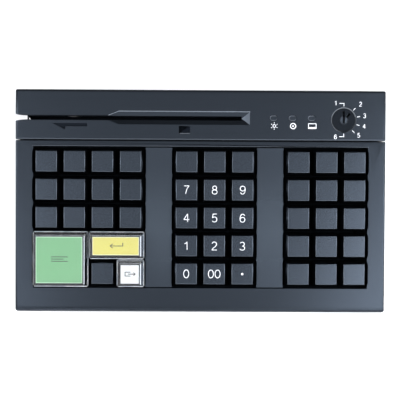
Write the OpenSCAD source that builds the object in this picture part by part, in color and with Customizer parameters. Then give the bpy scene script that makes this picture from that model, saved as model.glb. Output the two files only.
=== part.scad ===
/* [Case] */
// Distance from the side of the case to the key window
side_margin = 11.5; // [10.5:0.5:18]
// Distance from the front of the case to the key window, along the deck
front_margin = 16.2; // [15:0.2:24]
// Width of the bar between the key window and the seam
seam_rib = 4.2; // [3.6:0.1:8]
// Length of the card reader bar, along the deck
reader_l = 34.8; // [34:0.2:45]
// Slope of the deck above the table
deck_slope = 7; // [5:0.5:9]
// Height of the deck's front edge above the table
front_h = 22; // [21.5:0.5:30]
// Height of the parting line above the table
parting_h = 10; // [9:0.5:11]
// Height that the rubber feet hold the base above the table
foot_stand = 1.5; // [1:0.1:3]
// Wall thickness of the three housing mouldings
wall = 2.4; // [2:0.1:2.6]
// Radius of the deck's front edge
front_edge_r = 3.8; // [2:0.1:5]
// Radius of the deck's side and rear edges
edge_r = 1.7; // [1:0.1:2.2]
// Radius of the upright corners
corner_r = 2.2; // [1.5:0.1:4]
// Gap in the seam between the top case and the reader cover
seam_gap = 0.5; // [0.3:0.1:0.8]

/* [Keys] */
// Distance from one key to the next
pitch = 19.05; // [18.5:0.05:20]
// Gap between the rims of neighbouring keys
key_gap = 0.8; // [0.5:0.05:1.2]
// Gap between the outer keys' cells and the key window
window_clear = 0.95; // [0.6:0.05:1.5]
// Width of a small cap's flat top
cap_top_w = 14.2; // [12:0.1:15]
// Depth of a small cap's flat top, front to rear
cap_top_l = 13.9; // [12:0.1:15]
// Height of a small cap's top above the deck
cap_top_h = 5.4; // [4:0.1:7]
// Depth of a key's rim below the deck, at rest
rim_depth = 3.6; // [3:0.1:4]
// Travel of a key
key_travel = 3.5; // [2:0.1:3.6]
// Wall thickness of a cap
cap_wall = 1.3; // [1:0.1:1.6]
// Width of a key's cross-shaped stem
stem_w = 5.6; // [4:0.1:6.5]
// Clearance between a stem and its guide, on each side
guide_clear = 0.12; // [0.05:0.01:0.3]

/* [Legend keys] */
// Height of the clear covers above the deck
cover_top_h = 12; // [9:0.1:14]
// Height of the clear covers' rims above the deck
cover_rim_h = 2.2; // [0.5:0.1:3.5]
// How far a clear cover's walls lean in, rim to top, on each side
cover_inset = 1.5; // [0.8:0.1:2]
// Wall thickness of a clear cover
cover_wall = 1.2; // [0.8:0.1:1.5]
// Space between a cover's underside and the base that holds the card
card_gap = 0.35; // [0.2:0.05:0.6]

/* [Card slot] */
// Distance from the rear edge to the middle of the card slot
slot_from_rear = 19.6; // [19:0.1:22]
// Width of the slit that holds the card
slit_w = 2.9; // [1.5:0.1:3.2]
// Depth of the slit below the deck
slit_depth = 24; // [20:0.5:25]
// Width of the chamfer along the narrow part's lips
lip_chamfer = 0.3; // [0.2:0.1:0.6]
// Width of the funnel at the deck
funnel_w = 8.9; // [7.5:0.1:9.2]
// Depth at which the funnel's two slopes would meet
funnel_depth = 2.6; // [2:0.1:4]
// Distance from the left side to where the funnel starts
funnel_start = 63.6; // [50:0.1:90]
// Length of the slanting lips at the funnel's start
funnel_flare = 6.9; // [4:0.1:12]
// Length of the funnel's full-width part, a little over a card's
funnel_l = 89.8; // [88:0.1:100]
// Length of the ramp at the funnel's right end
ramp_l = 5.6; // [4:0.1:8]
// Length of the open notch at the slit's left end
notch_l = 8; // [6:0.1:12]

/* [Lock and windows] */
// Distance from the right side to the lock's axis
lock_from_side = 29; // [24:0.5:34]
// Diameter of the lock's face
lock_d = 15.6; // [12:0.1:18]
// Diameter of the lock's turning plug
plug_d = 5.2; // [4:0.1:7]
// Width of the keyway
keyway_w = 1.5; // [1:0.1:2]
// Turning clearance between plug and barrel, on the radius
plug_clear = 0.05; // [0.02:0.01:0.1]
// Distance from the middle of the case to the first indicator
indicator_x = 49.7; // [46:0.1:55]
// Distance from one indicator to the next
indicator_pitch = 13.05; // [10:0.05:15]
// Length of an indicator window
indicator_l = 5; // [4:0.1:7]
// Width of an indicator window
indicator_w = 3.3; // [2:0.1:4]

/* [Inside] */
// Thickness of the circuit board
board_t = 1.6; // [1:0.1:2]
// Thickness of the dome sheet between its domes
sheet_t = 1; // [0.6:0.1:1.5]
// Height of a rubber dome above its sheet
dome_h = 5.2; // [4:0.1:6]
// Diameter of a rubber dome's foot
dome_d = 11; // [9:0.1:13]
// Thickness of the key frame's plate
frame_t = 1.6; // [1.2:0.1:2]
// Diameter of a case screw's thread
screw_d = 3; // [2.5:0.1:3.5]
// Diameter of a rubber foot
foot_d = 13; // [10:0.5:16]

/* [Hidden] */
$fn = 48;
columns = 12;
rows = 5;

// Small keys, each with its node's name, column and row; row 1 is at the rear
function block(side, block_columns, block_rows) = [
    for (r = block_rows, c = block_columns) [str(side, "_key_r", r, "c", c), c, r]
];
digit_keys = [
    ["key_7", 6, 2], ["key_8", 7, 2], ["key_9", 8, 2],
    ["key_4", 6, 3], ["key_5", 7, 3], ["key_6", 8, 3],
    ["key_1", 6, 4], ["key_2", 7, 4], ["key_3", 8, 4],
    ["key_0", 6, 5], ["key_00", 7, 5], ["key_point", 8, 5]
];
small_keys = concat(
    block("left", [1:4], [1:3]),
    block("left", [3], [5]),
    block("centre", [6:8], [1]),
    digit_keys,
    block("right", [10:12], [1:5])
);

// Legend keys: name, left column, rear row, and cells across and along
green_key_cells = ["green_key", 1, 4, [2, 2]];
yellow_key_cells = ["yellow_key", 3, 4, [2, 1]];
white_key_cells = ["white_key", 4, 5, [1, 1]];
legend_keys = [green_key_cells, yellow_key_cells, white_key_cells];

// The deck frame: u to the right, v to the rear along the slope, w out of the deck,
// from the middle of the key window
window_w = columns * pitch + 2 * window_clear;
window_l = rows * pitch + 2 * window_clear;
body_w = window_w + 2 * side_margin;
deck_front = -window_l / 2 - front_margin;
seam_v = window_l / 2 + seam_rib;
deck_rear = seam_v + reader_l;
half_x = body_w / 2;
half_y = (deck_rear - deck_front) * cos(deck_slope) / 2;
rear_h = front_h + (deck_rear - deck_front) * sin(deck_slope);

function deck_y(v, w) = (v - deck_front) * cos(deck_slope) - w * sin(deck_slope) - half_y;
function deck_z(v, w) = (v - deck_front) * sin(deck_slope) + w * cos(deck_slope) + front_h;
function deck_point(v, w) = [deck_y(v, w), deck_z(v, w)];
function depth_at(v, z) = (z - deck_z(v, 0)) / cos(deck_slope);
function column_u(c) = (c - (columns + 1) / 2) * pitch;
function row_v(r) = ((rows + 1) / 2 - r) * pitch;
function both(size) = [size, size];

// Heights in the deck frame
plate_gap = 0.5;
stem_reach = 0.5;
frame_top = -rim_depth - key_travel - plate_gap;
frame_bottom = frame_top - frame_t;
stem_end = frame_bottom - stem_reach;
sheet_bottom = stem_end - dome_h - sheet_t;
board_bottom = sheet_bottom - board_t;

// Fits between mouldings
ring_wall = 1.6;
seat_clear = 0.3;
skirt_depth = 12;
seam_wall = 1.6;
seam_case_r = 0.6;
seam_reader_r = 1;
seam_corner_r = 0.9;
lip_t = 1.2;
tongue_t = 1.2;
tongue_h = 2;
tongue_foot = 2;
tongue_clear = 0.15;
seam_break = 12;
floor_t = 2;
base_edge = 1.2;

// Notched edges of the key window and of the blank strips
scallop_r = 6.4;
window_scallop = 0.75;
strip_scallop = 0.3;
strip_clear = 0.72;
strip_end_clear = 0.8;
strip_columns = [5, 9];

// Guides, stems and domes
guide_wall = 1.1;
guide_above_rim = 0.4;
guide_top = guide_above_rim - rim_depth;
cap_corner_r = 1.2;
card_fit = 0.15;
base_inset = 0.1;
stem_blade = 2;
post_d = 4;
sheet_margin = 0.5;
dome_top_d = 5.4;
dome_wall = 0.9;
dome_seat_h = 1;
dome_bore = dome_d - 2 * dome_wall;

// Card slot
slot_v = deck_rear - slot_from_rear;
cheek = 1.8;
slot_floor_t = 2;
funnel_wall = 1.2;
funnel_u = -half_x + funnel_start;
funnel_wide_u = funnel_u + funnel_flare;
funnel_end_u = funnel_wide_u + funnel_l;
slit_end_u = funnel_end_u - ramp_l;
notch_end_u = -half_x + notch_l;
notch_bar = 0.8;
notch_hole = 2.8;
mouth_flare = 0.95;
mouth_l = 7;
mouth_r = (mouth_l * mouth_l + mouth_flare * mouth_flare) / (2 * mouth_flare);
notch_draft = 3.6;
notch_depth = 46;
slot_draft_w = -funnel_w / 4;
arrow_from_side = 24.4;
arrow_u = -half_x + arrow_from_side;
arrow_from_slot = 3.4;
arrow_tilt = 18;
arrow_l = 24.5;
arrow_shaft_w = 2.4;
arrow_head_l = 9.3;
arrow_head_w = 4.5;
arrow_barb = 0.6;

// Lock
lock_u = half_x - lock_from_side;
lock_ahead = 0.7;
lock_v = slot_v - lock_ahead;
lock_face = -0.6;
lock_hole_clear = 0.35;
lock_flange_w = 2;
lock_flange_t = 2;
lock_bottom = -18;
lock_ring_w = 0.5;
lock_ring_h = 0.35;
lock_chamfer = 0.5;
plug_stand = 0.2;
keyway_depth = 5;
key_slot_rim = 1.4;
key_out_turn = 45;
rotor_d = 9;
rotor_t = 1.6;
rotor_gap = 0.2;
plug_r = plug_d / 2;

// Windows
indicator_behind = 0.4;
indicator_v = slot_v + indicator_behind;
indicator_us = [for (i = [0:2]) indicator_x + i * indicator_pitch];
window_fit = 0.1;
sensor_u = -11.2;
sensor_ahead = 8;
sensor_v = slot_v - sensor_ahead;
sensor_size = [7.5, 5.2];
sensor_t = 2;
sensor_stem = [3, 2.5];
sensor_stem_ahead = 0.5;
sensor_stem_v = sensor_v - sensor_stem_ahead;
led_h = 0.8;
led_size = [1.6, 3, led_h];
pipe_top = -0.3;
pipe_flange = 1;

// Circuit board: width of each tongue and its reach past the window's middle, and the parts on it
led_tongue = [36, 5];
sensor_tongue = [14, 2];
sensor_chip = [2, 1.6, led_h];
controller = [10, 7, 1.4];
controller_from_mid = 8;
controller_from_seam = 6;

// Read head
head_from_side = 38.7;
head_u = -half_x + head_from_side;
head_size = [12, 8, 12];
head_nose_r = 14;
head_reach = 0.4;
head_clear = 0.5;
head_above_floor = 10.7;
head_w = -slit_depth + head_above_floor;
leaf_half_l = 14;
leaf_t = 0.4;
leaf_w = 6;
leaf_post_l = 3;
leaf_post_w = 4;
post_root = 0.5;

// Screws, feet and cable inlet, in plan
boss_d = 6.4;
pan_boss_more = 1;
pan_boss_d = boss_d + pan_boss_more;
boss_joint_h = 8;
pilot_depth = 10;
screw_clear = 0.2;
head_d = 6.2;
head_depth = 3.4;
pilot_share = 0.8;
side_screw_more = 0.25;
side_screw_x = window_w / 2 + ring_wall + (side_margin - ring_wall - wall) / 2 + side_screw_more;
side_screw_y = 15;
front_screw_in = 9.3;
front_screw_y = -half_y + front_screw_in;
front_screw_from_side = 16.5;
front_screw_x = half_x - front_screw_from_side;
case_screws = [
    [-front_screw_x, front_screw_y], [0, front_screw_y], [front_screw_x, front_screw_y],
    [-side_screw_x, side_screw_y], [side_screw_x, side_screw_y]
];
rear_screw_in = 8.7;
rear_screw_y = half_y - rear_screw_in;
rear_screw_from_side = 14.7;
rear_screw_x = half_x - rear_screw_from_side;
rear_screw_mid_x = 42;
reader_screws = [
    [-rear_screw_x, rear_screw_y], [rear_screw_mid_x, rear_screw_y], [rear_screw_x, rear_screw_y]
];
foot_from_side = 32;
foot_x = half_x - foot_from_side;
foot_from_end = 14;
foot_y = half_y - foot_from_end;
foot_seat = 0.9;
foot_clear = 0.1;
foot_edge = 0.5;
inlet_d = 6.5;
inlet_x = -60;

// An extent larger than the whole body, how far a cut runs past a face, and the least thickness
big = 400;
over = 1;
skin = 0.01;

// Puts its children on the deck, at u, v and w
module on_deck(u = 0, v = 0, w = 0) {
    translate([0, deck_y(0, 0), deck_z(0, 0)])
        rotate([deck_slope, 0, 0])
            translate([u, v, w])
                children();
}

// Extrudes an outline drawn in y and z along x
module along_x(length) {
    rotate([90, 0, 90])
        linear_extrude(length, center = true)
            children();
}

// Extrudes an outline drawn in x and z along y
module along_y(length) {
    rotate([90, 0, 0])
        linear_extrude(length, center = true)
            children();
}

module rounded_rect(size, r) {
    square([size[0] - 2 * r, size[1]], center = true);
    square([size[0], size[1] - 2 * r], center = true);
    for (sx = [-1, 1], sy = [-1, 1])
        translate([sx * (size[0] / 2 - r), sy * (size[1] / 2 - r)])
            circle(r);
}

// The two ends of the arc that rounds a corner, and the arc's centre
function unit(a) = a / norm(a);
function rounded_corner(before, at, after, r) =
    let (
        a = unit(before - at),
        b = unit(after - at),
        half_angle = acos(a * b) / 2,
        back = r / tan(half_angle)
    )
    r == 0 ? [[at], at] : [[at + a * back, at + b * back], at + unit(a + b) * r / sin(half_angle)];

// A convex outline with a radius at each of its points
module rounded_outline(points, radii) {
    n = len(points);
    difference() {
        polygon(points);
        for (i = [0:n - 1])
            if (radii[i] > 0) {
                corner = rounded_corner(points[(i + n - 1) % n], points[i], points[(i + 1) % n], radii[i]);
                difference() {
                    polygon([corner[0][0], 2 * points[i] - corner[1], corner[0][1], corner[1]]);
                    translate(corner[1])
                        circle(radii[i]);
                }
            }
    }
}

module obround(length, width) {
    square([length - width, width], center = true);
    for (side = [-1, 1])
        translate([side * (length - width) / 2, 0])
            circle(width / 2);
}

// Block that tapers from one rectangle to another above it
module tapered_block(base, top, height) {
    intersection() {
        along_y(max(base[1], top[1]))
            polygon([[-base[0] / 2, 0], [base[0] / 2, 0], [top[0] / 2, height], [-top[0] / 2, height]]);
        rotate([0, 0, 90])
            along_y(max(base[0], top[0]))
                polygon([[-base[1] / 2, 0], [base[1] / 2, 0], [top[1] / 2, height], [-top[1] / 2, height]]);
    }
}

// Outer form shared by the two upper mouldings: an outline in y and z, with round side edges
// and upright corners
module upper_form(outline, radii, seam_edge, far_edge) {
    intersection() {
        along_x(body_w)
            rounded_outline(outline, radii);
        on_deck()
            along_y(big)
                rounded_outline(
                    [[-half_x, -big / 4], [-half_x, 0], [half_x, 0], [half_x, -big / 4]],
                    [0, edge_r, edge_r, 0]
                );
        linear_extrude(big / 4)
            rounded_rect([body_w, 2 * half_y], corner_r);
        on_deck(w = -big / 4)
            linear_extrude(big / 2)
                rounded_outline(
                    [[-half_x, far_edge], [-half_x, seam_edge], [half_x, seam_edge], [half_x, far_edge]],
                    [0, seam_corner_r, seam_corner_r, 0]
                );
    }
}

// Bosses that hang from an upper moulding down to the base pan's bosses
module hanging_bosses(places) {
    for (p = places)
        translate([p[0], p[1], boss_joint_h])
            cylinder(d = boss_d, h = big / 4);
}

module pilot_holes(places) {
    for (p = places)
        translate([p[0], p[1], boss_joint_h - over])
            cylinder(d = screw_d * pilot_share, h = pilot_depth + over);
}

// The key window's outline, with a low round rib at each row line
module window_outline() {
    difference() {
        square([window_w, window_l], center = true);
        for (side = [-1, 1], i = [0:rows])
            translate([side * (window_w / 2 + scallop_r - window_scallop), (i - rows / 2) * pitch])
                circle(scallop_r);
    }
}

module top_case() {
    edge_v = seam_v - seam_gap / 2;
    inner_v = edge_v - seam_wall;
    color("#3b414c")
    difference() {
        union() {
            difference() {
                upper_form(
                    [[-half_y, parting_h], [-half_y, front_h], deck_point(edge_v, 0),
                     deck_point(edge_v, depth_at(edge_v, parting_h))],
                    [0, front_edge_r, seam_case_r, 0],
                    edge_v, deck_front - big / 8
                );
                along_x(body_w - 2 * wall)
                    polygon([
                        [-half_y + wall, 0],
                        [-half_y + wall, front_h + wall * tan(deck_slope) - wall / cos(deck_slope)],
                        deck_point(inner_v, -wall), deck_point(inner_v, -skirt_depth),
                        deck_point(edge_v + over, -skirt_depth),
                        deck_point(edge_v + over, depth_at(edge_v, 0))
                    ]);
            }
            on_deck(w = frame_top)
                linear_extrude(-frame_top - wall / 2)
                    square([window_w + 2 * ring_wall, window_l + 2 * ring_wall], center = true);
            intersection() {
                hanging_bosses(case_screws);
                on_deck(w = -big / 4 - wall / 2)
                    linear_extrude(big / 4)
                        square(big, center = true);
            }
        }
        on_deck(w = -big / 8)
            linear_extrude(big / 4)
                window_outline();
        pilot_holes(case_screws);
    }
}

// The plate that guides the stems, with the two blank strips that show between the key blocks
module key_frame() {
    plate = [window_w + 2 * ring_wall, window_l + 2 * ring_wall];
    guide_hole = stem_w + 2 * guide_clear;
    strip = [pitch - 2 * strip_clear, window_l - 2 * strip_end_clear];
    sheet_top = sheet_bottom + sheet_t;
    color("#333841")
    on_deck() {
        difference() {
            union() {
                translate([0, 0, frame_bottom])
                    linear_extrude(frame_t)
                        square(plate, center = true);
                for (s = key_sites)
                    translate([column_u(s[0]), row_v(s[1]), frame_bottom])
                        linear_extrude(guide_top - frame_bottom)
                            square(guide_hole + 2 * guide_wall, center = true);
                for (c = strip_columns)
                    translate([column_u(c), 0, frame_bottom])
                        linear_extrude(-frame_bottom)
                            strip_outline(strip);
            }
            for (s = key_sites)
                translate([column_u(s[0]), row_v(s[1]), frame_bottom - over])
                    linear_extrude(guide_top - frame_bottom + 2 * over)
                        square(guide_hole, center = true);
            for (c = strip_columns)
                translate([column_u(c), 0, frame_bottom - over])
                    linear_extrude(over - frame_bottom - ring_wall)
                        square(strip - both(2 * ring_wall), center = true);
        }
        for (c = strip_columns, j = [-1:1])
            translate([column_u(c), j * 2 * pitch, sheet_top])
                cylinder(d = post_d, h = -sheet_top - ring_wall / 2);
        for (side = [-1, 1], j = [-1.5, 1.5])
            translate([side * (window_w / 2 - stem_reach), j * pitch, sheet_top])
                cylinder(d = post_d / 2, h = frame_bottom - sheet_top + frame_t / 2);
    }
}

module strip_outline(size) {
    square(size, center = true);
    for (side = [-1, 1], i = [0:rows])
        translate([side * (size[0] / 2 - scallop_r + strip_scallop), (i - rows / 2) * pitch])
            intersection() {
                circle(scallop_r);
                translate([side * scallop_r, (rows / 2 - i) * pitch])
                    square([2 * scallop_r, size[1]], center = true);
            }
}

// Columns and rows that have a stem: a legend key has one in each of its cells
key_sites = concat(
    [for (k = small_keys) [k[1], k[2]]],
    [for (k = legend_keys, i = [0:k[3][0] - 1], j = [0:k[3][1] - 1]) [k[1] + i, k[2] + j]]
);

module reader_cover() {
    edge_v = seam_v + seam_gap / 2;
    inner_v = edge_v + seam_wall;
    inner_rear = half_y - wall;
    rear_under = rear_h - wall * tan(deck_slope) - wall / cos(deck_slope);
    color("#363c47")
    difference() {
        union() {
            difference() {
                upper_form(
                    [deck_point(edge_v, depth_at(edge_v, parting_h)), deck_point(edge_v, 0),
                     [half_y, rear_h], [half_y, parting_h]],
                    [0, seam_reader_r, edge_r, 0],
                    edge_v, deck_rear + big / 8
                );
                along_x(body_w - 2 * wall)
                    polygon([
                        deck_point(edge_v - over, depth_at(edge_v, 0)),
                        deck_point(edge_v - over, -skirt_depth),
                        deck_point(inner_v, -skirt_depth), deck_point(inner_v, -wall),
                        [inner_rear, rear_under], [inner_rear, 0]
                    ]);
            }
            seam_lip();
            slot_walls();
            head_posts();
            intersection() {
                hanging_bosses(reader_screws);
                on_deck(w = -big / 4 - wall / 2)
                    linear_extrude(big / 4)
                        square(big, center = true);
            }
        }
        slot_cut();
        arrow_recess();
        lock_hole();
        for (u = indicator_us)
            on_deck(u, indicator_v, -wall - over)
                linear_extrude(wall + 2 * over)
                    obround(indicator_l + 2 * window_fit, indicator_w + 2 * window_fit);
        on_deck(sensor_u, sensor_v, -sensor_t)
            linear_extrude(sensor_t + over)
                square(sensor_size + both(2 * window_fit), center = true);
        on_deck(sensor_u, sensor_stem_v, -wall - over)
            linear_extrude(wall + 2 * over)
                square(sensor_stem + both(2 * window_fit), center = true);
        on_deck(head_u, slot_v + slit_w / 2 + cheek / 2, head_w)
            cube(
                [head_size[0] + 2 * head_clear, cheek + 2 * over, head_size[2] + 2 * head_clear],
                center = true
            );
        pilot_holes(reader_screws);
        cable_inlet();
    }
}

// Chamfered hole for the lock's face
module lock_hole() {
    hole_d = lock_d + 2 * lock_hole_clear;
    on_deck(lock_u, lock_v, -wall - over)
        cylinder(d = hole_d, h = wall + 2 * over);
    on_deck(lock_u, lock_v, -lock_chamfer)
        cylinder(d1 = hole_d, d2 = hole_d + 4 * lock_chamfer, h = 2 * lock_chamfer);
}

// Lip that reaches under the top case's seam wall
module seam_lip() {
    lip_w = body_w - 2 * wall - 2 * seat_clear;
    reach = seam_wall + seam_gap;
    on_deck(0, seam_v + seam_gap / 2, -skirt_depth - lip_t - seat_clear)
        linear_extrude(lip_t)
            translate([0, (seam_wall - reach) / 2])
                square([lip_w, seam_wall + reach], center = true);
    on_deck(0, seam_v + (seam_gap + seam_wall) / 2, -skirt_depth - seat_clear - lip_t / 2)
        linear_extrude(lip_t + seat_clear)
            square([lip_w, seam_wall], center = true);
}

// Walls of the card channel, and the funnel's thicker block under the deck
module slot_walls() {
    channel_w = slit_w + 2 * cheek;
    left = -half_x + wall / 2;
    right = slit_end_u + cheek;
    on_deck((left + right) / 2, slot_v, -slit_depth - slot_floor_t)
        linear_extrude(slit_depth + slot_floor_t - wall / 2)
            square([right - left, channel_w], center = true);
    on_deck((funnel_u + funnel_end_u) / 2, slot_v, -funnel_depth - funnel_wall)
        linear_extrude(funnel_depth + funnel_wall - wall / 2)
            square([funnel_end_u - funnel_u + 2 * funnel_wall, funnel_w + 2 * funnel_wall], center = true);
    notch_walls(parting_h, deck_z(slot_v, -wall));
}

// Everything that the card slot takes away: slit, chamfered lips, funnel, left mouth and notch
module slot_cut() {
    slit_length = slit_end_u + half_x + over;
    lip = slit_w / 2 + lip_chamfer;
    on_deck(slit_end_u - slit_length / 2, slot_v, -slit_depth)
        linear_extrude(slit_depth + over)
            square([slit_length, slit_w], center = true);
    on_deck(slit_end_u - slit_length / 2, slot_v)
        rotate([0, 0, 90])
            along_y(slit_length)
                polygon([
                    [-lip - over, over], [lip + over, over],
                    [slit_w / 2, -lip_chamfer], [-slit_w / 2, -lip_chamfer]
                ]);
    funnel_cut();
    on_deck(-half_x, slot_v, -slit_depth)
        linear_extrude(slit_depth + over)
            mouth_outline();
    notch_cut();
}

// The funnel's two slopes lead down to the slit, and a ramp rises from it at the right end
module funnel_cut() {
    lip = slit_w / 2 + lip_chamfer;
    on_deck(0, slot_v)
        hull() {
            linear_extrude(skin)
                polygon([
                    [funnel_u, -lip], [funnel_wide_u, -funnel_w / 2], [funnel_end_u, -funnel_w / 2],
                    [funnel_end_u, funnel_w / 2], [funnel_wide_u, funnel_w / 2], [funnel_u, lip]
                ]);
            translate([(funnel_wide_u + slit_end_u) / 2, 0, -funnel_depth])
                cube([slit_end_u - funnel_wide_u, skin, skin], center = true);
        }
}

// The slit's left mouth opens out in two shallow arcs
module mouth_outline() {
    side_v = slit_w / 2 + mouth_r;
    difference() {
        square([2 * mouth_l, 2 * (slit_w / 2 + mouth_flare)], center = true);
        for (side = [-1, 1])
            translate([mouth_l, side * side_v])
                circle(mouth_r, $fn = 180);
    }
}

// Where the card leaves on the left, the slit is open down to the table, and widens downwards
module notch_prism(length, half_w) {
    translate([notch_end_u - length / 2, slot_v, 0])
        rotate([0, 0, 90])
            along_y(length)
                polygon([
                    [-half_w, over], [half_w, over], [half_w, slot_draft_w],
                    [half_w + notch_draft, -notch_depth], [-half_w - notch_draft, -notch_depth],
                    [-half_w, slot_draft_w]
                ]);
}

// One thin bar crosses the notch at the depth of the slit's floor
module notch_cut() {
    bar_u = notch_end_u - notch_hole - notch_bar;
    difference() {
        on_deck()
            notch_prism(notch_l + over, slit_w / 2);
        on_deck(bar_u + notch_bar / 2, slot_v, -slit_depth - slot_floor_t / 2)
            cube([notch_bar, 2 * funnel_w, slot_floor_t], center = true);
    }
}

// Walls round the notch, from one height to another above the table
module notch_walls(low, high) {
    intersection() {
        on_deck()
            translate([cheek, 0, 0])
                notch_prism(notch_l + cheek - wall / 2, slit_w / 2 + cheek);
        translate([-half_x, 0, low])
            linear_extrude(high - low)
                square(big / 2, center = true);
    }
}

// Half arrow below the slot, sunk deeper towards its lower edge
module arrow_recess() {
    on_deck(arrow_u, slot_v - arrow_from_slot)
        rotate([arrow_tilt, 0, 0])
            linear_extrude(2 * over)
                polygon([
                    [0, 0], [arrow_l, 0], [arrow_l, -arrow_shaft_w],
                    [arrow_head_l + arrow_barb, -arrow_shaft_w], [arrow_head_l, -arrow_head_w]
                ]);
}

module cable_inlet() {
    translate([inlet_x, half_y - wall / 2, parting_h])
        rotate([90, 0, 0])
            cylinder(d = inlet_d, h = 3 * wall, center = true);
}

// Two posts on the channel's rear wall that carry the read head's leaf spring
module head_posts() {
    post_v = slot_v + slit_w / 2 + cheek + (leaf_post_l - post_root) / 2;
    for (side = [-1, 1])
        on_deck(head_u + side * (leaf_half_l - leaf_post_w / 2), post_v, head_w)
            cube([leaf_post_w, leaf_post_l + post_root, leaf_w], center = true);
}

// Read head, whose rounded nose stands a little into the slit, with its leaf spring
module read_head() {
    face_v = slot_v + slit_w / 2;
    leaf_v = face_v + cheek + leaf_post_l;
    color("silver")
    on_deck(head_u, 0, head_w) {
        intersection() {
            translate([0, face_v - head_reach + head_size[1] / 2, 0])
                cube(head_size, center = true);
            translate([0, face_v - head_reach + head_nose_r, 0])
                cylinder(r = head_nose_r, h = head_size[2] + over, center = true);
        }
        translate([0, leaf_v + leaf_t / 2, 0])
            cube([2 * leaf_half_l, leaf_t, leaf_w], center = true);
    }
}

module indicator_windows() {
    board_top = board_bottom + board_t;
    color("lightsteelblue")
    on_deck() {
        for (u = indicator_us)
            translate([u, indicator_v, board_top + led_h]) {
                linear_extrude(pipe_top - board_top - led_h)
                    obround(indicator_l, indicator_w);
                translate([0, 0, -board_top - led_h - wall - pipe_flange])
                    linear_extrude(pipe_flange)
                        obround(indicator_l + 2 * pipe_flange, indicator_w + 2 * pipe_flange);
            }
        translate([sensor_u, sensor_v, -sensor_t])
            linear_extrude(sensor_t)
                square(sensor_size, center = true);
        translate([sensor_u, sensor_stem_v, board_top + led_h])
            linear_extrude(-board_top - led_h - sensor_t / 2)
                square(sensor_stem, center = true);
    }
}

// Fixed lock body: a face with a raised ring round the plug, and slots at the two turns
// where the key comes out
module lock_barrel() {
    hole_r = plug_r + plug_clear;
    color("#2a2d33")
    on_deck(lock_u, lock_v)
    difference() {
        union() {
            translate([0, 0, lock_bottom])
                cylinder(d = lock_d, h = lock_face - lock_bottom);
            translate([0, 0, -wall - lock_flange_t])
                cylinder(d = lock_d + 2 * lock_flange_w, h = lock_flange_t);
            translate([0, 0, lock_face - lock_ring_h])
                cylinder(r = hole_r + lock_ring_w, h = 2 * lock_ring_h);
        }
        translate([0, 0, lock_bottom - over])
            cylinder(r = hole_r, h = 2 * over - lock_bottom);
        key_slot(0, 0, lock_d / 2 - key_slot_rim);
        key_slot(key_out_turn, plug_r + lock_ring_w, lock_d / 2 - key_slot_rim);
    }
}

// A radial slot in the lock's face, turned clockwise from the rear
module key_slot(turn, from, to) {
    rotate([0, 0, -turn])
        translate([-keyway_w / 2, from, lock_face - keyway_depth])
            cube([keyway_w, to - from, keyway_depth + 2 * over]);
}

module lock_plug() {
    color("dimgray")
    on_deck(lock_u, lock_v)
    difference() {
        union() {
            translate([0, 0, lock_bottom - rotor_gap - rotor_t])
                cylinder(r = plug_r, h = lock_face + plug_stand - lock_bottom + rotor_gap + rotor_t);
            translate([0, 0, lock_bottom - rotor_gap - rotor_t])
                cylinder(d = rotor_d, h = rotor_t);
        }
        translate([-keyway_w / 2, -plug_r + lock_ring_w, lock_face - keyway_depth])
            cube([keyway_w, 2 * plug_r, keyway_depth + 2 * over]);
    }
}

// One rubber dome, hollow, with a round seat for the stem
module rubber_dome() {
    cone_h = dome_h - dome_seat_h;
    difference() {
        union() {
            cylinder(d1 = dome_d, d2 = dome_top_d, h = cone_h);
            cylinder(d = dome_top_d, h = dome_h);
        }
        translate([0, 0, -sheet_t - over])
            cylinder(d = dome_bore, h = sheet_t + over);
        cylinder(d1 = dome_bore, d2 = dome_top_d - 2 * dome_wall, h = cone_h - dome_wall);
    }
}

module dome_sheet() {
    sheet = [window_w + 2 * sheet_margin, window_l + 2 * sheet_margin];
    color("gainsboro")
    on_deck(w = sheet_bottom) {
        difference() {
            linear_extrude(sheet_t)
                square(sheet, center = true);
            for (s = key_sites)
                translate([column_u(s[0]), row_v(s[1]), -over])
                    cylinder(d = dome_bore, h = sheet_t + 2 * over);
        }
        for (s = key_sites)
            translate([column_u(s[0]), row_v(s[1]), sheet_t])
                rubber_dome();
    }
}

// Board under the keys, with two tongues that reach the windows in the reader cover
module circuit_board() {
    indicator_mid = indicator_us[1];
    tongue_front = window_l / 2 - over;
    color("darkgreen")
    on_deck(w = board_bottom) {
        linear_extrude(board_t) {
            square([window_w + 2 * sheet_margin, window_l + 2 * sheet_margin], center = true);
            translate([indicator_mid - led_tongue[0] / 2, tongue_front])
                square([led_tongue[0], indicator_v + led_tongue[1] - tongue_front]);
            translate([sensor_u - sensor_tongue[0] / 2, tongue_front])
                square([sensor_tongue[0], sensor_v + sensor_tongue[1] - tongue_front]);
        }
        for (u = indicator_us)
            translate([u, indicator_v, board_t + led_h / 2])
                cube(led_size, center = true);
        translate([sensor_u, sensor_stem_v, board_t + led_h / 2])
            cube(sensor_chip, center = true);
        translate([indicator_mid + controller_from_mid, seam_v + controller_from_seam, board_t])
            linear_extrude(controller[2])
                square([controller[0], controller[1]], center = true);
    }
}

// Outer form of the base pan, with its lower edges cut at 45 degrees
module base_form() {
    intersection() {
        translate([0, 0, foot_stand])
            linear_extrude(parting_h - foot_stand)
                rounded_rect([body_w, 2 * half_y], corner_r);
        along_x(big)
            cut_corner_outline(half_y);
        along_y(big)
            cut_corner_outline(half_x);
    }
}

module cut_corner_outline(half) {
    polygon([
        [-half + base_edge, foot_stand], [half - base_edge, foot_stand], [half, foot_stand + base_edge],
        [half, parting_h], [-half, parting_h], [-half, foot_stand + base_edge]
    ]);
}

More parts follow.
